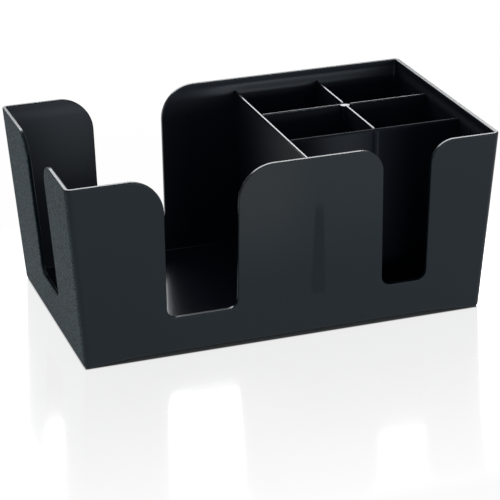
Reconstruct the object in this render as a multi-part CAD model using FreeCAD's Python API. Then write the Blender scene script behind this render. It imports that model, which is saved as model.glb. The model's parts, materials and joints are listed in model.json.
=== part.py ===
"""Bar caddy: a moulded open box with finger notches, four dividers that slide into guide ribs, and feet.

The frame is +X to the right along the length, +Y to the back, +Z up. The origin is on the counter, under the
middle of the rim. All sizes are millimetres and degrees.
"""
import FreeCAD, Part
import math
import os

# The box, measured outside at the rim
length = 245.0
width = 145.0
height = 105.0
end_draft = 4.0
side_draft = 2.6
wall = 2.5
corner_radius = 3.6
rim_round = 0.6

# The floor, and the skirt that hides the feet
floor_underside = 2.4
floor_thickness = 1.8
inner_floor_radius = 0.4
skirt_gap = 0.3
skirt_round = 1.6
corner_land = 5.0
side_arch_ramp = 36.0

# The finger notches, as wide as stated at their floor
notch_floor = 23.0
notch_corner = 5.5
notch_draft = 0.7
napkin_notch_width = 39.8
napkin_notch_flare = 20.0
end_notch_width = 38.2
end_notch_flare = 14.0
end_notch_y = -3.0
long_notch_width = 26.2
long_notch_flare = 13.5
long_notch_x = 68.0

# The dividers and the ribs that guide them
napkin_bay = 129.5
divider_thickness = 1.6
divider_drop = 7.0
divider_corner_cut = 2.4
divider_top_round = 0.75
end_gap = 0.3
slide_gap = 0.2
rib_width = 1.3
rib_depth = 2.5
rib_drop = 38.0
post_diameter = 5.6
post_drop = 0.6
post_crown = 0.3
post_gap = 0.3
halving_gap = 0.3

# The feet
foot_diameter = 12.0
foot_round = 0.5
foot_inset = 14.0

# Places that follow from the sizes above
floor_top = floor_underside + floor_thickness
divider_top = height - divider_drop
rib_top = divider_top - rib_drop
above_rim = height + 10.0
below_floor = -10.0
overlap = 0.4
near = 0.01


def half_length(z, inset=0.0):
    """Half the outside length at height z, less an inset."""
    return length / 2 - inset - (height - z) * math.tan(math.radians(end_draft))


def half_width(z, inset=0.0):
    """Half the outside width at height z, less an inset."""
    return width / 2 - inset - (height - z) * math.tan(math.radians(side_draft))


def vector(x, y, z):
    return FreeCAD.Vector(x, y, z)


def box(x0, x1, y0, y1, z0, z1):
    """A plain box between two corners."""
    return Part.makeBox(x1 - x0, y1 - y0, z1 - z0, vector(x0, y0, z0))


def tapered_block(z0, z1, inset=0.0):
    """A solid with the four leaning outside planes, moved in by inset, between two heights."""
    rings = []
    for z in (z0, z1):
        x, y = half_length(z, inset), half_width(z, inset)
        rings.append([vector(-x, -y, z), vector(x, -y, z), vector(x, y, z), vector(-x, y, z)])
    low, high = rings
    loops = [low[::-1], high] + [[low[i - 1], low[i], high[i], high[i - 1]] for i in range(4)]
    faces = [Part.Face(Part.makePolygon(loop + loop[:1])) for loop in loops]
    return Part.makeSolid(Part.makeShell(faces))


def edges_where(shape, test):
    """The edges that pass a test, which is given each edge and its middle point."""
    chosen = []
    for edge in shape.Edges:
        middle = edge.valueAt((edge.FirstParameter + edge.LastParameter) / 2)
        if test(edge, middle):
            chosen.append(edge)
    return chosen


def corner_edges(shape):
    """The four leaning edges at the corners of a tapered block."""
    return edges_where(shape, lambda edge, middle: edge.BoundBox.ZLength > 0.5 * shape.BoundBox.ZLength)


def prism(profile, direction):
    """A solid pulled from a closed list of edges."""
    return Part.Face(Part.Wire(profile)).extrude(direction)


def on_circle(middle, radius, angle):
    """The point of a circle at an angle in degrees, counted from the first axis towards the second."""
    turn = math.radians(angle)
    return middle[0] + radius * math.cos(turn), middle[1] + radius * math.sin(turn)


def notch_profile(centre, notch_width, flare, reach, place):
    """The closed outline of all that is cut away above one wall's rim, from -reach to +reach along the wall.

    From each end it runs along the rim, down a quarter round flare, down a slightly leaning side, and round
    the notch's bottom corner to its floor. place turns (along, up) into a point in space.
    """
    lean = math.radians(notch_draft)
    half_floor = notch_width / 2 - notch_corner * math.tan(math.radians(90 - notch_draft) / 2)
    corner_middle = (half_floor, notch_floor + notch_corner)
    flare_z = height - flare
    flare_start_z = flare_z + flare * math.sin(lean)
    flare_x = notch_width / 2 + (flare_start_z - notch_floor) * math.tan(lean) + flare * math.cos(lean)
    flare_middle = (flare_x, flare_z)

    def point(side, spot):
        return place(centre + side * spot[0], spot[1])

    def line(start, end):
        return Part.LineSegment(start, end).toShape()

    def arc(side, middle, radius, start, end):
        spots = [on_circle(middle, radius, angle) for angle in (start, (start + end) / 2, end)]
        return Part.Arc(*[point(side, spot) for spot in spots]).toShape()

    def half(side):
        flare_end = on_circle(flare_middle, flare, 180 - notch_draft)
        corner_end = on_circle(corner_middle, notch_corner, -notch_draft)
        return [line(place(side * reach, height), point(side, (flare_x, height))),
                arc(side, flare_middle, flare, 90, 180 - notch_draft),
                line(point(side, flare_end), point(side, corner_end)),
                arc(side, corner_middle, notch_corner, -notch_draft, -90)]

    floor = line(point(-1, (half_floor, notch_floor)), point(1, (half_floor, notch_floor)))
    lid = [line(place(reach, height), place(reach, above_rim)),
           line(place(reach, above_rim), place(-reach, above_rim)),
           line(place(-reach, above_rim), place(-reach, height))]
    return half(-1) + [floor] + half(1)[::-1] + lid


def arch_profile(place):
    """The closed outline of the shallow arch under the long sides: a flat, and a long arc at each end."""
    low, high = skirt_gap, floor_underside
    half_span = half_length(skirt_gap) - corner_land
    rise = high - low
    radius = (side_arch_ramp ** 2 + rise ** 2) / (2 * rise)
    flat = half_span - side_arch_ramp
    via = (flat + side_arch_ramp / 2, high - radius + math.sqrt(radius ** 2 - (side_arch_ramp / 2) ** 2))
    edges = [Part.Arc(place(-half_span, low), place(-via[0], via[1]), place(-flat, high)).toShape(),
             Part.LineSegment(place(-flat, high), place(flat, high)).toShape(),
             Part.Arc(place(flat, high), place(via[0], via[1]), place(half_span, low)).toShape()]
    for start, end in (((half_span, low), (half_span, below_floor)),
                       ((half_span, below_floor), (-half_span, below_floor)),
                       ((-half_span, below_floor), (-half_span, low))):
        edges.append(Part.LineSegment(place(*start), place(*end)).toShape())
    return edges


def divider_places():
    """Where the long and the short divider stand along X, and the cross dividers at plus and minus y."""
    long_x = -half_length(floor_top, wall) + napkin_bay + divider_thickness / 2
    row_y = half_width(divider_top, wall) / 3
    right = half_length(divider_top, wall)
    short_x = (long_x + divider_thickness / 2 + right) / 2
    return long_x, short_x, row_y


def channel(middle):
    """Where the two ribs beside a divider lie: the inner and outer face of each, from the divider's plane."""
    inner = divider_thickness / 2 + slide_gap
    outer = inner + rib_width
    return [(middle - outer, middle - inner), (middle + inner, middle + outer)]


def on_outside(middle):
    """True for a point on one of the leaning outside faces or on a round corner."""
    beside_x = half_length(middle.z) - abs(middle.x)
    beside_y = half_width(middle.z) - abs(middle.y)
    return min(beside_x, beside_y) < near or max(beside_x, beside_y) < corner_radius - near


def skirt():
    """The outer block with its round corners, the arch under its long sides and its rounded lower edge."""
    block = tapered_block(skirt_gap, above_rim)
    block = block.makeFillet(corner_radius, corner_edges(block))
    arch = arch_profile(lambda along, up: vector(along, -width, up))
    block = block.cut(prism(arch, vector(0, 2 * width, 0)))
    high = floor_underside + overlap
    lower = edges_where(block, lambda edge, middle: middle.z < high and on_outside(middle))
    return block.makeFillet(skirt_round, lower)


def hollow(low, high, floor_radius=0.0):
    """The tapered space inside the walls, with round corners and, where asked, a rounded floor edge."""
    space = tapered_block(low, high, wall)
    space = space.makeFillet(corner_radius - wall, corner_edges(space))
    if floor_radius:
        rim = edges_where(space, lambda edge, middle: middle.z < low + near)
        space = space.makeFillet(floor_radius, rim)
    return space


def cut_notches(body):
    """The body with its walls trimmed to the rim and the four notches."""
    napkin_x = -(half_length(notch_floor, wall) + half_length(floor_top, wall) - napkin_bay) / 2
    reach_x, reach_y = length / 2 + wall, width / 2 + wall
    inside_x, inside_y = half_length(floor_top, 4 * wall), half_width(floor_top, 4 * wall)
    through_y, through_x = vector(0, reach_y - inside_y, 0), vector(reach_x - inside_x, 0, 0)

    def rear(along, up):
        return vector(along, inside_y, up)

    def front(along, up):
        return vector(along, -reach_y, up)

    def left(along, up):
        return vector(-reach_x, along, up)

    # The front wall has two notches, so its two cuts are each kept to their own side of the centre tab
    middle_x = (napkin_x + long_notch_x) / 2
    napkin_side = box(-length, middle_x, -width, width, below_floor, 2 * height)
    long_side = box(middle_x, length, -width, width, below_floor, 2 * height)
    napkin = (napkin_x, napkin_notch_width, napkin_notch_flare, reach_x)
    narrow = (long_notch_x, long_notch_width, long_notch_flare, reach_x)
    end = (end_notch_y, end_notch_width, end_notch_flare, reach_y)
    cuts = [prism(notch_profile(*napkin, rear), through_y),
            prism(notch_profile(*napkin, front), through_y).common(napkin_side),
            prism(notch_profile(*narrow, front), through_y).common(long_side),
            prism(notch_profile(*end, left), through_x),
            box(inside_x, reach_x, -reach_y, reach_y, height, above_rim)]
    for cut in cuts:
        body = body.cut(cut)
    return body.removeSplitter()


def round_rims(body):
    """The body with a small round on both edges of every rim and notch."""
    def is_rim(edge, middle):
        span = edge.firstVertex().Point.distanceToPoint(edge.lastVertex().Point)
        across_wall = edge.Length < 1.5 * wall and edge.Length - span < near
        return edge.BoundBox.ZMin > notch_floor - overlap and not across_wall
    return body.makeFillet(rim_round, edges_where(body, is_rim))


def wall_lining(depth, top):
    """A ring that lines the walls to a depth, and reaches a little into them, from the floor to a height."""
    low = floor_top - overlap
    return tapered_block(low, top, wall - overlap).cut(tapered_block(low, top, wall + depth))


def caddy_tub():
    """The moulded box: walls, floor, notches and the guide ribs on its walls."""
    body = skirt()
    body = body.cut(hollow(floor_top, above_rim, inner_floor_radius))
    body = body.cut(hollow(below_floor, floor_underside))
    body = round_rims(cut_notches(body))
    long_x, short_x, row_y = divider_places()
    lining = wall_lining(rib_depth, rib_top)
    for x0, x1 in channel(long_x):
        body = body.fuse(lining.common(box(x0, x1, -width, width, 0, height)))
    for x0, x1 in channel(short_x):
        body = body.fuse(lining.common(box(x0, x1, 0, width, 0, height)))
    for y in (-row_y, row_y):
        for y0, y1 in channel(y):
            body = body.fuse(lining.common(box(0, length, y0, y1, 0, height)))
    return body.removeSplitter()


def panel(corners, direction):
    """A flat divider from its outline and its thickness, with both edges of its top rounded."""
    plate = Part.Face(Part.makePolygon(corners + corners[:1])).extrude(direction)
    top = edges_where(plate, lambda edge, middle: edge.BoundBox.ZMin > divider_top - near
                      and edge.Length > 2 * divider_thickness)
    return plate.makeFillet(divider_top_round, top)


def front_to_back(x, y_low, y_high):
    """A divider that runs front to back at x. y_low and y_high give its two ends at a height."""
    x0 = x - divider_thickness / 2
    cut = divider_corner_cut
    knee = floor_top + cut
    spots = [(y_low(floor_top) + cut, floor_top), (y_high(floor_top) - cut, floor_top), (y_high(knee), knee),
             (y_high(divider_top), divider_top), (y_low(divider_top), divider_top), (y_low(knee), knee)]
    return panel([vector(x0, y, z) for y, z in spots], vector(divider_thickness, 0, 0))


def left_to_right(y, x_low, x_high):
    """A divider that runs left to right at y."""
    y0 = y - divider_thickness / 2
    cut = divider_corner_cut
    knee = floor_top + cut
    spots = [(x_low, floor_top), (x_high(floor_top) - cut, floor_top), (x_high(knee), knee),
             (x_high(divider_top), divider_top), (x_low, divider_top)]
    return panel([vector(x, y0, z) for x, z in spots], vector(0, divider_thickness, 0))


def inner_x(z):
    """Where a divider ends beside the right wall."""
    return half_length(z, wall + end_gap)


def inner_y(z):
    """Where a divider ends beside the rear wall, and beside the front wall with a minus sign."""
    return half_width(z, wall + end_gap)


def long_divider():
    """The wall beside the napkin bay, with a channel on its right face for each cross divider."""
    long_x, _, row_y = divider_places()
    body = front_to_back(long_x, lambda z: -inner_y(z), inner_y)
    face = long_x + divider_thickness / 2
    for y in (-row_y, row_y):
        for y0, y1 in channel(y):
            body = body.fuse(box(face - overlap, face + rib_depth, y0, y1, floor_top, rib_top))
    return body.removeSplitter()


def cross_divider(y):
    """A wall from the long divider to the right wall."""
    long_x = divider_places()[0]
    return left_to_right(y, long_x + divider_thickness / 2 + end_gap, inner_x)


def halving_heights():
    """Where the post's lower half ends and its upper half begins, with a gap between."""
    middle = (floor_top + divider_top) / 2
    return middle - halving_gap / 2, middle + halving_gap / 2


def crowned_post(low, rim):
    """The post at the crossing from a low height to its top's rim, with a shallow dome above the rim."""
    _, short_x, row_y = divider_places()
    radius = post_diameter / 2
    dome = (radius ** 2 + post_crown ** 2) / (2 * post_crown)
    dome_middle = rim + post_crown - dome
    half_turn = math.asin(radius / dome) / 2

    def spot(out, z):
        return vector(short_x + out, row_y, z)

    via = spot(dome * math.sin(half_turn), dome_middle + dome * math.cos(half_turn))
    top = spot(0, rim + post_crown)
    profile = [Part.LineSegment(spot(0, low), spot(radius, low)).toShape(),
               Part.LineSegment(spot(radius, low), spot(radius, rim)).toShape(),
               Part.Arc(spot(radius, rim), via, top).toShape(),
               Part.LineSegment(top, spot(0, low)).toShape()]
    return Part.Face(Part.Wire(profile)).revolve(spot(0, 0), vector(0, 0, 1), 360)


def rear_cross_divider():
    """The wall between the rows of cells, slotted from above, with the post's lower half at the crossing."""
    _, short_x, row_y = divider_places()
    low = halving_heights()[0]
    post = Part.makeCylinder(post_diameter / 2, low - floor_top, vector(short_x, row_y, floor_top))
    half_slot = post_diameter / 2 + post_gap
    slot = box(short_x - half_slot, short_x + half_slot, 0, width, low, above_rim)
    return cross_divider(row_y).cut(slot).fuse(post).removeSplitter()


def front_cross_divider():
    """The wall between the cells and the long compartment, with a channel behind for the short divider."""
    _, short_x, row_y = divider_places()
    body = cross_divider(-row_y)
    face = -row_y + divider_thickness / 2
    for x0, x1 in channel(short_x):
        body = body.fuse(box(x0, x1, face - overlap, face + rib_depth, floor_top, rib_top))
    return body.removeSplitter()


def short_divider():
    """The wall between the left and right cells, slotted from below, with the post's upper half.

    Its top edge dips at the post, whose crown lies a little lower than the edge.
    """
    _, short_x, row_y = divider_places()
    front = -row_y + divider_thickness / 2 + end_gap
    high = halving_heights()[1]
    half_slot, half_dip = post_diameter / 2 + post_gap, post_diameter / 2
    post_rim = divider_top - post_drop
    body = front_to_back(short_x, lambda z: front, inner_y)
    body = body.cut(box(0, length, row_y - half_slot, row_y + half_slot, below_floor, high))
    body = body.cut(box(0, length, row_y - half_dip, row_y + half_dip, post_rim, above_rim))
    return body.fuse(crowned_post(high, post_rim)).removeSplitter()


def foot(side_x, side_y):
    """A rubber disc stuck under the floor near one corner."""
    x = side_x * (half_length(floor_underside) - foot_inset)
    y = side_y * (half_width(floor_underside) - foot_inset)
    disc = Part.makeCylinder(foot_diameter / 2, floor_underside, vector(x, y, 0))
    lower = edges_where(disc, lambda edge, middle: edge.BoundBox.ZMax < foot_round)
    return disc.makeFillet(foot_round, lower)


def main():
    nodes = {"caddy_tub": caddy_tub(),
             "long_divider": long_divider(),
             "rear_cross_divider": rear_cross_divider(),
             "front_cross_divider": front_cross_divider(),
             "short_divider": short_divider()}
    for end, side_y in (("front", -1), ("rear", 1)):
        for hand, side_x in (("left", -1), ("right", 1)):
            nodes["%s_%s_foot" % (end, hand)] = foot(side_x, side_y)
    os.makedirs("parts", exist_ok=True)
    for name, shape in nodes.items():
        shape.exportStep("parts/%s.step" % name)
        print(name, "valid" if shape.isValid() else "NOT VALID", len(shape.Solids), "solid,",
              round(shape.Volume / 1000, 2), "cm3")


main()
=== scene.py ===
# %% [markdown]
# # A moulded bar caddy in Blender
#
# The object is a black plastic box for a bar top. It has a bay for folded napkins on the left, and four
# small cells and one long compartment on the right, kept apart by thin dividers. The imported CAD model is
# the fixed frame: its nodes are never moved or changed. This script gives them their finishes, and sets
# the stage, the light and the camera. Such a box has no parts but its walls, so the finishes and the
# light carry the whole look.

# %% Load the frame
import json
import math

import bpy
import numpy as np
from mathutils import Matrix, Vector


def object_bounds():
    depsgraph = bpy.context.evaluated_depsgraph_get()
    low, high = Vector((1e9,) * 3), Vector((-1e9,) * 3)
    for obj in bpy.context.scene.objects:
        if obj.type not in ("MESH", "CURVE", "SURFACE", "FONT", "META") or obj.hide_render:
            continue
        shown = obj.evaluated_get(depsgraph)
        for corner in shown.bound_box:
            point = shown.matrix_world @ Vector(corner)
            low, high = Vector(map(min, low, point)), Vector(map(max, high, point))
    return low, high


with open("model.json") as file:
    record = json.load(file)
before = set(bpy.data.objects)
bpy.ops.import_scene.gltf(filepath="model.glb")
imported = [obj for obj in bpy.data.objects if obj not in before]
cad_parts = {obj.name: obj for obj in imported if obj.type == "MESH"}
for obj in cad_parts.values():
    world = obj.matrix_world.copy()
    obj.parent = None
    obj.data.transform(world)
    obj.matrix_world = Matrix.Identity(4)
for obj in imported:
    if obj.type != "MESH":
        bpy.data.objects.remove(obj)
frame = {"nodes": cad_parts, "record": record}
cad_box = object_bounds()
nodes = frame["nodes"]
print("nodes:", sorted(nodes))
print("CAD box in metres:", [tuple(round(value, 4) for value in corner) for corner in cad_box])

# %% [markdown]
# ## Colours
#
# A paint program shows a colour as an sRGB hex value, and Blender works in linear light. So the colours
# below are written in hex, where they are easy to compare with a photograph, and one function turns them.


# %% Hex colours to linear light
def linear(hex_colour):
    """The linear RGBA of an sRGB hex colour, by the sRGB curve."""
    channels = np.array([int(hex_colour[i:i + 2], 16) for i in (1, 3, 5)]) / 255
    curved = np.where(channels <= 0.04045, channels / 12.92, ((channels + 0.055) / 1.055) ** 2.4)
    return (*curved.tolist(), 1.0)


print("mid grey is", round(linear("#808080")[0], 3), "in linear light")

# %% [markdown]
# ## Building a material from nodes
#
# A material is a small graph of nodes. It could be wired by hand in the shader editor. In a script, one
# function that adds a node, sets it and links it is enough, so that each finish below reads as a list of
# its steps.


# %% A function that adds a node
def add_node(owner, kind, sockets=(), **settings):
    """Adds a shader node to a material or a world, and returns its outputs.

    sockets is what goes into the inputs, in their order or by name or number: a value, or an output
    to link. settings are the node's own choices, such as the operation of a Math node.
    """
    tree = owner.node_tree
    node = tree.nodes.new("ShaderNode" + kind)
    for name, choice in settings.items():
        setattr(node, name, choice)
    pairs = sockets.items() if isinstance(sockets, dict) else enumerate(sockets)
    for key, value in pairs:
        if isinstance(value, bpy.types.NodeSocket):
            tree.links.new(value, node.inputs[key])
        else:
            node.inputs[key].default_value = value
    return node.outputs


# %% Two helpers for every finish
def empty_material(name):
    """A node material that has no nodes yet."""
    material = bpy.data.materials.new(name)
    material.use_nodes = True
    material.node_tree.nodes.clear()
    return material


def all_of(owner, *masks):
    """Where all of the masks hold. A mask is a share from 0 to 1, so this is their product."""
    result = masks[0]
    for mask in masks[1:]:
        result = add_node(owner, "Math", [result, mask], operation="MULTIPLY")[0]
    return result


# A Map Range node with this choice goes from 0 to 1 without a visible edge at either end.
soft_step = {"interpolation_type": "SMOOTHSTEP"}
# A Mix node with this choice mixes colours: inputs 6 and 7 are the two, and output 2 is the result.
as_colour = {"data_type": "RGBA"}
print("helpers: add_node, empty_material, all_of")

# %% [markdown]
# ## Where the finish of the tub changes
#
# The tub is one moulding, but not one finish. The cavity side of the mould, which makes the outside, is
# spark eroded to a satin, with a coarser grain on the ends. The core side, which makes the inside, is
# smoother. The rim is rounded and polished by hands, and the floor of the napkin bay by the napkins that
# slide over it.
#
# The faces could each get a material slot of their own, but the mesh is the CAD model's and stays as it
# is. So the material works out from a point's place how deep it lies behind the outer faces, which lean
# out from the foot to the rim.

# %% Sizes of the tub in metres
half_length, half_width, height = cad_box[1]
end_lean = math.tan(math.radians(4.0))
side_lean = math.tan(math.radians(2.6))
corner_radius = 0.0036
wall = 0.0025
floor_top = 0.0042
print("half length, half width and height:", [round(value, 4) for value in cad_box[1]])

# %% Depth behind the outer faces
tub = empty_material("satin_black_abs")
tub_place = add_node(tub, "TexCoord")["Object"]
x, y, z = add_node(tub, "SeparateXYZ", [tub_place])
below_rim = add_node(tub, "Math", [height, z], operation="SUBTRACT")[0]


def depth_behind(coordinate, half, lean):
    """How far a point lies behind the two outer faces that lean along one axis, in metres.

    It is the half size at the point's height, which shrinks by the lean times the distance below the
    rim, less the point's own distance from the middle.
    """
    outer_face = add_node(tub, "Math", [below_rim, -lean, half], operation="MULTIPLY_ADD")[0]
    from_middle = add_node(tub, "Math", [coordinate], operation="ABSOLUTE")[0]
    return add_node(tub, "Math", [outer_face, from_middle], operation="SUBTRACT")[0]


end_depth = depth_behind(x, half_length, end_lean)
side_depth = depth_behind(y, half_width, side_lean)
print("depth nodes:", len(tub.node_tree.nodes))

# %% [markdown]
# The smaller of the two depths would have a sharp corner, and the box has round ones. So the depth is the
# corner radius less the length of what each depth falls short of it. On a round corner that is zero too.

# %% One depth that follows the round corners
squares = []
for one_depth in (end_depth, side_depth):
    short = add_node(tub, "Math", [corner_radius, one_depth], operation="SUBTRACT")[0]
    short = add_node(tub, "Math", [short, 0.0], operation="MAXIMUM")[0]
    squares.append(add_node(tub, "Math", [short, 2.0], operation="POWER")[0])
square = add_node(tub, "Math", squares, operation="ADD")[0]
length = add_node(tub, "Math", [square], operation="SQRT")[0]
depth = add_node(tub, "Math", [corner_radius, length], operation="SUBTRACT")[0]
print("depth runs up to the corner radius,", round(1000 * corner_radius, 1), "mm")

# %% [markdown]
# Where that depth is near 0 the point is on the outside, where it is the wall or more it is on the inside,
# and between the two it is on the rim. Each mask is a share from 0 to 1 that goes over softly.

# %% Masks for the outside, the inside, the ends and the floor
# Each range runs from where its mask is 0 to where it is 1, in metres.
outer_skin = (0.0008, 0.0002)
inner_skin = (wall - 0.0006, wall - 0.0001)
end_skin = (0.0010, 0.0002)
floor_skin = (floor_top + 0.0008, floor_top + 0.0002)
outside = add_node(tub, "MapRange", [depth, *outer_skin], **soft_step)[0]
inside = add_node(tub, "MapRange", [depth, *inner_skin], **soft_step)[0]
near_end = add_node(tub, "MapRange", [end_depth, *end_skin], **soft_step)[0]
near_floor = add_node(tub, "MapRange", [z, *floor_skin], **soft_step)[0]
on_end = all_of(tub, near_end, outside)
on_floor = all_of(tub, inside, near_floor)
print("masks: outside, inside, on_end, on_floor")

# %% [markdown]
# ## The rubbed tab and its painted sheen
#
# The tab in the middle of the front is where a hand holds the box, and it is a little duller towards its
# upper left corner. It is also paler there, and that paler colour is a painted highlight: the soft sheen
# on the tab. It could be painted as an image. A few soft steps along the length and the height place it
# as well, and need no picture.

# %% How far the front is rubbed, and where its sheen is painted
tab_left, tab_right = -0.029, 0.055
tab_edge = 0.002
rise_of_rub = (0.030, 0.095)
drift_of_rub = (0.020, -0.015)
front_half = (0.0, -0.01)
in_front = add_node(tub, "MapRange", [y, *front_half], **soft_step)[0]
on_front = all_of(tub, outside, in_front)

from_left = add_node(tub, "MapRange", [x, tab_left - tab_edge, tab_left], **soft_step)[0]
from_right = add_node(tub, "MapRange", [x, tab_right + tab_edge, tab_right], **soft_step)[0]
upwards = add_node(tub, "MapRange", [z, *rise_of_rub], **soft_step)[0]
leftwards = add_node(tub, "MapRange", [x, *drift_of_rub], **soft_step)[0]
whole_tab = all_of(tub, from_left, from_right, upwards)
corner_of_tab = all_of(tub, whole_tab, leftwards)
rub_and_sheen_all_over = all_of(tub, whole_tab, 0.4)
rub_and_sheen = add_node(tub, "Math", [corner_of_tab, 0.6, rub_and_sheen_all_over], operation="MULTIPLY_ADD")[0]
rub_and_sheen = all_of(tub, on_front, rub_and_sheen)
print("rubbed tab is", round(1000 * (tab_right - tab_left)), "mm wide")

# %% [markdown]
# ## The sink mark
#
# Where a channel for the long divider stands behind the front wall, the plastic was thicker while it
# cooled and has sunk a few hundredths of a millimetre. That mark is smoother than the satin round it, so
# it shows as a dark streak, wider at its foot. A change of roughness and a painted shade, a darker colour
# over the mark, show that better than a dent, which would be too shallow to see.

# %% How far the front is sunk
sink_x = 0.0173
sink_foot, sink_top = 0.025, 0.078
foot_width, top_width = 0.0082, 0.0046
side_fade = (0.0011, -0.0010)
foot_fade = (sink_foot - 0.0006, sink_foot + 0.0006)
top_fade = (sink_top + 0.004, sink_top - 0.006)
width = add_node(tub, "MapRange", [z, sink_foot, sink_top, foot_width, top_width])[0]
half = all_of(tub, width, 0.5)
beside = add_node(tub, "Math", [x, sink_x], operation="SUBTRACT")[0]
beside = add_node(tub, "Math", [beside], operation="ABSOLUTE")[0]
past_edge = add_node(tub, "Math", [beside, half], operation="SUBTRACT")[0]

within = add_node(tub, "MapRange", [past_edge, *side_fade], **soft_step)[0]
above_foot = add_node(tub, "MapRange", [z, *foot_fade], **soft_step)[0]
below_top = add_node(tub, "MapRange", [z, *top_fade], **soft_step)[0]
sunk = all_of(tub, on_front, within, above_foot, below_top)
print("sink mark is", round(1000 * (sink_top - sink_foot)), "mm high")

# %% [markdown]
# ## Moulded ABS: its grain and its colour
#
# Black ABS shows little of its own colour, a cold blue-black, and mostly the room in its surface. So the
# grain and the roughness carry the look. The grain on the ends is drawn about 1.2 mm from top to top, a
# little coarser than a real one so that it shows. It scatters the light. The ends are painted paler than
# the front, and the tops of their grain palest: that is a painted sheen, the light that the grained ends
# catch. The front and back are an even satin.

# %% Pattern of the grain
grain_size = 0.0012
grain_pattern = {"Vector": tub_place, "Scale": 1 / grain_size, "Detail": 3.0, "Roughness": 0.65}
grains = add_node(tub, "TexNoise", grain_pattern)[0]
foot_to_top = (0.42, 0.64)
tops = add_node(tub, "MapRange", [grains, *foot_to_top], **soft_step)[0]
print("grain:", round(1000 * grain_size, 1), "mm from top to top")

# %% Colour
# The inside is painted a shade paler than the outside: a painted fill light, so the deep cells don't go
# fully black.
outer_black, inner_black_painted_fill = linear("#0a131a"), linear("#10141d")
# On the ends the colour runs from a paler black at the grain's feet to a pale grey at its tops: painted
# sheen.
grain_foot, painted_grain_sheen = linear("#1a2226"), linear("#495a62")
painted_sheen_grey, painted_streak_shade = linear("#2f3234"), linear("#020c14")
even_colour = add_node(tub, "Mix", {0: inside, 6: outer_black, 7: inner_black_painted_fill}, **as_colour)[2]
grain_and_sheen_colour = add_node(tub, "Mix", {0: tops, 6: grain_foot, 7: painted_grain_sheen}, **as_colour)[2]
colour = add_node(tub, "Mix", {0: on_end, 6: even_colour, 7: grain_and_sheen_colour}, **as_colour)[2]
# The paler grey on the tab is a painted highlight, the sheen towards its upper left corner.
painted_sheen_share = all_of(tub, rub_and_sheen, 0.6)
colour = add_node(tub, "Mix", {0: painted_sheen_share, 6: colour, 7: painted_sheen_grey}, **as_colour)[2]
# The darker black over the sink mark is a painted shade, the dark streak that the mark shows.
colour = add_node(tub, "Mix", {0: sunk, 6: colour, 7: painted_streak_shade}, **as_colour)[2]
print("outer black in linear light:", [round(value, 4) for value in outer_black[:3]])

# %% Bump of the grain
grain_depth = 0.00015
satin_grain, end_grain = 0.04, 1.0
grain_strength = add_node(tub, "MapRange", [on_end, 0.0, 1.0, satin_grain, end_grain])[0]
grain_bump = {"Height": grains, "Strength": grain_strength, "Distance": grain_depth}
normal = add_node(tub, "Bump", grain_bump)[0]
print("grain:", round(1000 * grain_depth, 2), "mm deep on the ends")

# %% [markdown]
# ## Walls that are not quite flat
#
# The inner walls turn back a little just under the rim, where the moulding shrank, and that turn catches
# the light from behind as a band along the back wall. The tab at the back left is warped and catches it
# all over. The CAD model has flat walls, so each turn is a bump: a soft step in height tilts the surface
# by its slope. The band is strongest by the cells and faint in the napkin bay.

# %% Bump of the wall under the rim
band_depth = 0.0012
band_heights = (height - 0.0028, height - 0.0098)
bay_to_cells = (-0.020, 0.030)
bay_share, cell_share = 0.12, 1.0
under_rim = add_node(tub, "MapRange", [z, *band_heights], **soft_step)[0]
by_cells = add_node(tub, "MapRange", [x, *bay_to_cells, bay_share, cell_share], **soft_step)[0]
lean_back = all_of(tub, inside, under_rim, by_cells)
lean_bump = {"Height": lean_back, "Distance": band_depth, "Normal": normal}
normal = add_node(tub, "Bump", lean_bump)[0]
print("band:", round(1000 * (band_heights[0] - band_heights[1]), 1), "mm high")

# %% Bump of the warped tab
warp_depth = 0.0026
end_of_tab = (-0.045, -0.050)
warp_heights = (height - 0.050, height + 0.010)
left_tabs = add_node(tub, "MapRange", [x, *end_of_tab], **soft_step)[0]
to_rim = add_node(tub, "MapRange", [z, *warp_heights], **soft_step)[0]
warped = all_of(tub, inside, left_tabs, to_rim)
warp_bump = {"Height": warped, "Distance": warp_depth, "Normal": normal}
normal = add_node(tub, "Bump", warp_bump, invert=True)[0]
print("tub material has", len(tub.node_tree.nodes), "nodes so far")

# %% [markdown]
# ## Roughness, and the finished surface
#
# The satin starts from one roughness, and each part of the tub adds to it or takes from it: the grained
# ends scatter most, the rubbed tab a little, and the inside and the sink mark less. The rim and the floor
# are polished, and the floor has a thin gloss from the napkins, which is a coat. The faint blue of the
# reflections is the tint.

# %% The surface of the tub
satin, polished = 0.40, 0.22
changes = ((rub_and_sheen, 0.16), (sunk, -0.16), (inside, -0.05), (on_end, 0.38))
roughness = satin
for share, change in changes:
    roughness = add_node(tub, "Math", [share, change, roughness], operation="MULTIPLY_ADD")[0]
either_side = add_node(tub, "Math", [outside, inside], operation="MAXIMUM")[0]
on_rim = add_node(tub, "Math", [1.0, either_side], operation="SUBTRACT")[0]
rim_or_floor = add_node(tub, "Math", [on_floor, on_rim], operation="MAXIMUM")[0]
roughness = add_node(tub, "MapRange", [rim_or_floor, 0.0, 1.0, roughness, polished])[0]
slid_on = -0.03
roughness = add_node(tub, "Math", [on_floor, slid_on, roughness], operation="MULTIPLY_ADD")[0]

# The IOR is that of ABS, and the specular level is matched to the photograph.
abs_index = 1.54
cool_tint = linear("#e8f6ff")
floor_gloss = all_of(tub, on_floor, 0.30)
surface = add_node(tub, "BsdfPrincipled", {
    "Base Color": colour, "Roughness": roughness, "Normal": normal,
    "IOR": abs_index, "Specular IOR Level": 0.22, "Specular Tint": cool_tint,
    "Coat Weight": floor_gloss, "Coat Roughness": 0.05})[0]
add_node(tub, "OutputMaterial", [surface])
print(tub.name, "has", len(tub.node_tree.nodes), "nodes")

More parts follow.
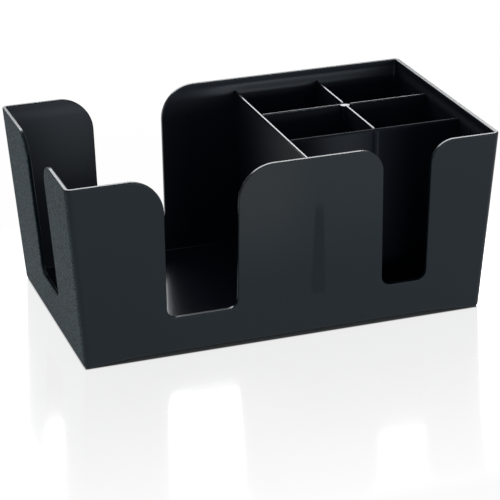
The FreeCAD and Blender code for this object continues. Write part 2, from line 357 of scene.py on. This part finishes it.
# %% [markdown]
# ## The dividers
#
# The dividers are the same ABS from a smoother mould. Their top edges are round, and hands have polished
# them, so they catch the light as pale lines: that is a coat over the top 1 mm. The front cross divider
# is touched most: its top is worn dull, its face is glossier, and it has a fine sink line down its front,
# where the short divider's channel stands behind it.

# %% A finish for the dividers
divider_top = 0.098
divider_grain = 0.0015
fine_depth = 0.00005
cross_divider_face, channel_x = -0.0240, 0.0688
top_skin = (divider_top - 0.0018, divider_top - 0.0008)
face_skin = (cross_divider_face + 0.0006, cross_divider_face + 0.0002)
line_edge = (0.0004, 0.0022)
line_depth = 0.00014


def divider_abs(name, roughness, top_roughness, polish, has_sink_line):
    """Smooth ABS, faintly uneven, with a polished or worn top edge, and a sink line or none."""
    material = empty_material(name)
    place = add_node(material, "TexCoord")["Object"]
    x, y, z = add_node(material, "SeparateXYZ", [place])
    pattern = {"Vector": place, "Scale": 1 / divider_grain, "Detail": 2.0, "Roughness": 0.6}
    uneven = add_node(material, "TexNoise", pattern)[0]
    normal = add_node(material, "Bump", {"Height": uneven, "Strength": 0.05, "Distance": fine_depth})[0]
    if has_sink_line:
        beside = add_node(material, "Math", [x, channel_x], operation="SUBTRACT")[0]
        beside = add_node(material, "Math", [beside], operation="ABSOLUTE")[0]
        on_face = add_node(material, "MapRange", [y, *face_skin], **soft_step)[0]
        off_line = add_node(material, "MapRange", [beside, *line_edge], **soft_step)[0]
        line = all_of(material, on_face, off_line)
        normal = add_node(material, "Bump", {"Height": line, "Distance": line_depth, "Normal": normal})[0]
    on_top = add_node(material, "MapRange", [z, *top_skin], **soft_step)[0]
    rough = add_node(material, "MapRange", [on_top, 0.0, 1.0, roughness, top_roughness])[0]
    top_gloss = all_of(material, on_top, polish)
    # The dividers' black is a shade paler than the tub's outer black: a painted fill light in the deep
    # cells.
    surface = add_node(material, "BsdfPrincipled", {
        "Base Color": linear("#12161f"), "Roughness": rough, "Normal": normal,
        "IOR": abs_index, "Specular IOR Level": 0.20, "Specular Tint": cool_tint,
        "Coat Weight": top_gloss, "Coat Roughness": 0.20})[0]
    add_node(material, "OutputMaterial", [surface])
    print(name, "has", len(material.node_tree.nodes), "nodes")
    return material


smooth_abs = divider_abs("smooth_black_abs", roughness=0.45, top_roughness=polished, polish=0.35,
                         has_sink_line=False)
worn_abs = divider_abs("worn_black_abs", roughness=0.32, top_roughness=0.75, polish=0.0,
                       has_sink_line=True)

# %% [markdown]
# ## The feet
#
# The feet are stick-on discs of black rubber. Rubber is matt with a fine even grain of about 0.3 mm, so
# it shows no clear reflection at all.

# %% Rubber
rubber = empty_material("matt_black_rubber")
rubber_place = add_node(rubber, "TexCoord")["Object"]
rubber_grain = 0.0003
rubber_pattern = {"Vector": rubber_place, "Scale": 1 / rubber_grain, "Detail": 2.0, "Roughness": 0.6}
rubber_grains = add_node(rubber, "TexNoise", rubber_pattern)[0]
rubber_bump = {"Height": rubber_grains, "Strength": 0.2, "Distance": fine_depth}
rubber_normal = add_node(rubber, "Bump", rubber_bump)[0]
rubber_surface = add_node(rubber, "BsdfPrincipled", {
    "Base Color": linear("#141517"), "Roughness": 0.75, "Normal": rubber_normal,
    "IOR": abs_index, "Specular IOR Level": 0.4, "Specular Tint": cool_tint})[0]
add_node(rubber, "OutputMaterial", [rubber_surface])
print(rubber.name, "has", len(rubber.node_tree.nodes), "nodes")

# %% [markdown]
# ## Which piece gets which finish
#
# The record of the part names a finish slot for each piece. The front cross divider is the one exception,
# since it is more worn than the others.

# %% Give each piece its finish
finish_of_slot = {"moulded_tub": tub, "moulded_divider": smooth_abs, "rubber_foot": rubber}
finish_of_piece = {"front_cross_divider": worn_abs}
for part in frame["record"]["subparts"]:
    mesh = nodes[part["node"]].data
    mesh.materials.clear()
    mesh.materials.append(finish_of_piece.get(part["node"], finish_of_slot[part["material_slot"]]))
    print(part["node"], "is", mesh.materials[0].name)

# %% [markdown]
# ## The floor
#
# The box stands on a white gloss board, as in a product picture: the floor goes over into the white
# background, and the box is mirrored faintly in front of it. A white backdrop would need a curve and much
# light. Here the floor shines by its own light for the rays that see it as a background, and is plain
# white paper for all others, so it lights the box no more than paper would.

# %% The floor's mesh
half_floor = 6.0
floor_mesh = bpy.data.meshes.new("floor")
floor_corners = [(side_x * half_floor, side_y * half_floor, 0.0)
                 for side_x, side_y in ((-1, -1), (1, -1), (1, 1), (-1, 1))]
floor_mesh.from_pydata(floor_corners, [], [(0, 1, 2, 3)])
floor = bpy.data.objects.new("floor", floor_mesh)
bpy.context.scene.collection.objects.link(floor)
print("floor:", 2 * half_floor, "m square")

# %% [markdown]
# Under the box hardly any light comes in, and a floor that shines by itself would show there as a white
# slit. So the footprint of the box doesn't shine, and its paper is grey, as deep shade makes it.

# %% Light and shade of the floor
board = empty_material("white_gloss_board")
rays = add_node(board, "LightPath")
seen = add_node(board, "Math", [rays["Is Camera Ray"], rays["Is Glossy Ray"]], operation="MAXIMUM")[0]
seen = add_node(board, "Math", [seen, rays["Is Transmission Ray"]], operation="MAXIMUM")[0]

board_place = add_node(board, "TexCoord")["Object"]
board_axes = add_node(board, "SeparateXYZ", [board_place])
lit_level = 0.91
edge_of_shade = (0.0004, -0.0012)
foot_reaches = {"X": half_length - height * end_lean, "Y": half_width - height * side_lean}
under = []
for axis, reach in foot_reaches.items():
    from_middle = add_node(board, "Math", [board_axes[axis]], operation="ABSOLUTE")[0]
    within_reach = [reach + offset for offset in edge_of_shade]
    under.append(add_node(board, "MapRange", [from_middle, *within_reach], **soft_step)[0])
clear = add_node(board, "Math", [1.0, all_of(board, *under)], operation="SUBTRACT")[0]

shade, white_paper = linear("#85888a"), linear("#f6f6f6")
paper_colour = add_node(board, "Mix", {0: clear, 6: shade, 7: white_paper}, **as_colour)[2]
paper = add_node(board, "BsdfDiffuse", {"Color": paper_colour})[0]
lit = add_node(board, "Emission", {"Color": linear("#ffffff"), "Strength": 1.0})[0]
lit_share = all_of(board, seen, clear, lit_level)
lit_paper = add_node(board, "MixShader", [lit_share, paper, lit])[0]
print("footprint half sizes:", {axis: round(reach, 4) for axis, reach in foot_reaches.items()})

# %% [markdown]
# The gloss of the board mirrors the box, and fades out towards the viewer. The empty studio is dim, so a
# plain mirror image of it would grey the floor. The gloss is made brighter to make up for that.

# %% Gloss of the floor
gloss_gain = 2.9
gloss_share = 0.10
gloss_colour = (gloss_gain, gloss_gain, gloss_gain, 1.0)
gloss = add_node(board, "BsdfGlossy", {"Color": gloss_colour, "Roughness": 0.1})[0]
front_fade = (-0.26, -0.07)
back_fade = (0.16, 0.09)
fade_in = add_node(board, "MapRange", [board_axes["Y"], *front_fade], **soft_step)[0]
fade_out = add_node(board, "MapRange", [board_axes["Y"], *back_fade], **soft_step)[0]
mirror = all_of(board, fade_in, fade_out, gloss_share)
coated_paper = add_node(board, "MixShader", [mirror, lit_paper, gloss])[0]
add_node(board, "OutputMaterial", [coated_paper])
floor.data.materials.append(board)
print(board.name, "has", len(board.node_tree.nodes), "nodes")

# %% [markdown]
# ## The room
#
# The walls of the studio are a dim even white, which keeps the inside of the box from going fully black.

# %% World
world = bpy.data.worlds.new("studio")
bpy.context.scene.world = world
world.use_nodes = True
world.node_tree.nodes.clear()
sky = add_node(world, "Background", {"Color": linear("#ffffff"), "Strength": 0.35})[0]
add_node(world, "OutputWorld", [sky])
print("world:", world.name)

# %% [markdown]
# ## Lamps
#
# Black plastic is lit by what it mirrors, so the lamps are large soft boxes, placed where the surfaces
# mirror them to the camera. The one behind draws the rims and the tops of the dividers as pale lines. The
# low one in front adds a soft sheen to the front wall, which leans out and so mirrors mostly the pale
# floor. A lamp's strength is given as its brightness per area, since that is what a mirror image of it
# shows, and Blender's watts follow from its size.


# %% Soft boxes
lamp_aim = np.array([0.0, 0.0, 0.05])


def turn_and_place(holder, right, up, back, place):
    """Puts an object at a place, and turns it to look against the direction back."""
    rows = [[right[i], up[i], back[i], place[i]] for i in range(3)]
    holder.matrix_world = Matrix(rows + [[0, 0, 0, 1]])


def soft_box(name, azimuth, elevation, distance, size, brightness):
    """A lamp that faces the caddy from a direction in degrees.

    Azimuth 0 is behind the caddy and 90 is to its right. The place is the distance times the direction,
    whose level part is the cosine of the elevation and whose height is its sine. The watts are the
    brightness times pi times the area.
    """
    turn, rise = math.radians(azimuth), math.radians(elevation)
    level = np.array([math.sin(turn), math.cos(turn), 0.0])
    place = distance * (level * math.cos(rise) + np.array([0.0, 0.0, math.sin(rise)]))
    back = place - lamp_aim
    back /= np.linalg.norm(back)
    right = np.cross((0, 0, 1), back)
    right /= np.linalg.norm(right)
    lamp = bpy.data.lights.new(name, "AREA")
    lamp.shape = "RECTANGLE"
    lamp.size, lamp.size_y = size
    lamp.energy = brightness * math.pi * size[0] * size[1]
    holder = bpy.data.objects.new(name, lamp)
    bpy.context.scene.collection.objects.link(holder)
    turn_and_place(holder, right, np.cross(back, right), back, place)
    print(name, "is", distance, "m away and gives", round(lamp.energy, 1), "W")


soft_box("back_window", 10, 35.6, 1.6, (1.5, 0.72), 7.2)
soft_box("low_front", 165, 7.5, 1.2, (1.0, 0.20), 9.0)

# %% [markdown]
# ## The camera
#
# The lens and the viewpoint come from the straight edges of the box in the photograph: the long lens
# keeps the verticals almost parallel.

# %% Camera
picture_pixels = 500
focal_pixels = 2118.3
yaw, pitch, roll = np.radians([-18.693, 22.775, -0.930])
spot = np.array([-0.3569, -1.0596, 0.4951])

back = np.array([math.sin(yaw) * math.cos(pitch), -math.cos(yaw) * math.cos(pitch), math.sin(pitch)])
level_right = np.array([math.cos(yaw), math.sin(yaw), 0.0])
level_up = np.cross(back, level_right)
right = level_right * math.cos(roll) + level_up * math.sin(roll)
up = level_up * math.cos(roll) - level_right * math.sin(roll)

lens = bpy.data.cameras.new("camera")
lens.sensor_width = 36.0
lens.lens = focal_pixels / picture_pixels * lens.sensor_width
camera = bpy.data.objects.new("camera", lens)
bpy.context.scene.collection.objects.link(camera)
turn_and_place(camera, right, up, back, spot)
bpy.context.scene.camera = camera
bpy.context.scene.view_settings.view_transform = "Standard"
print("lens:", round(lens.lens, 1), "mm")
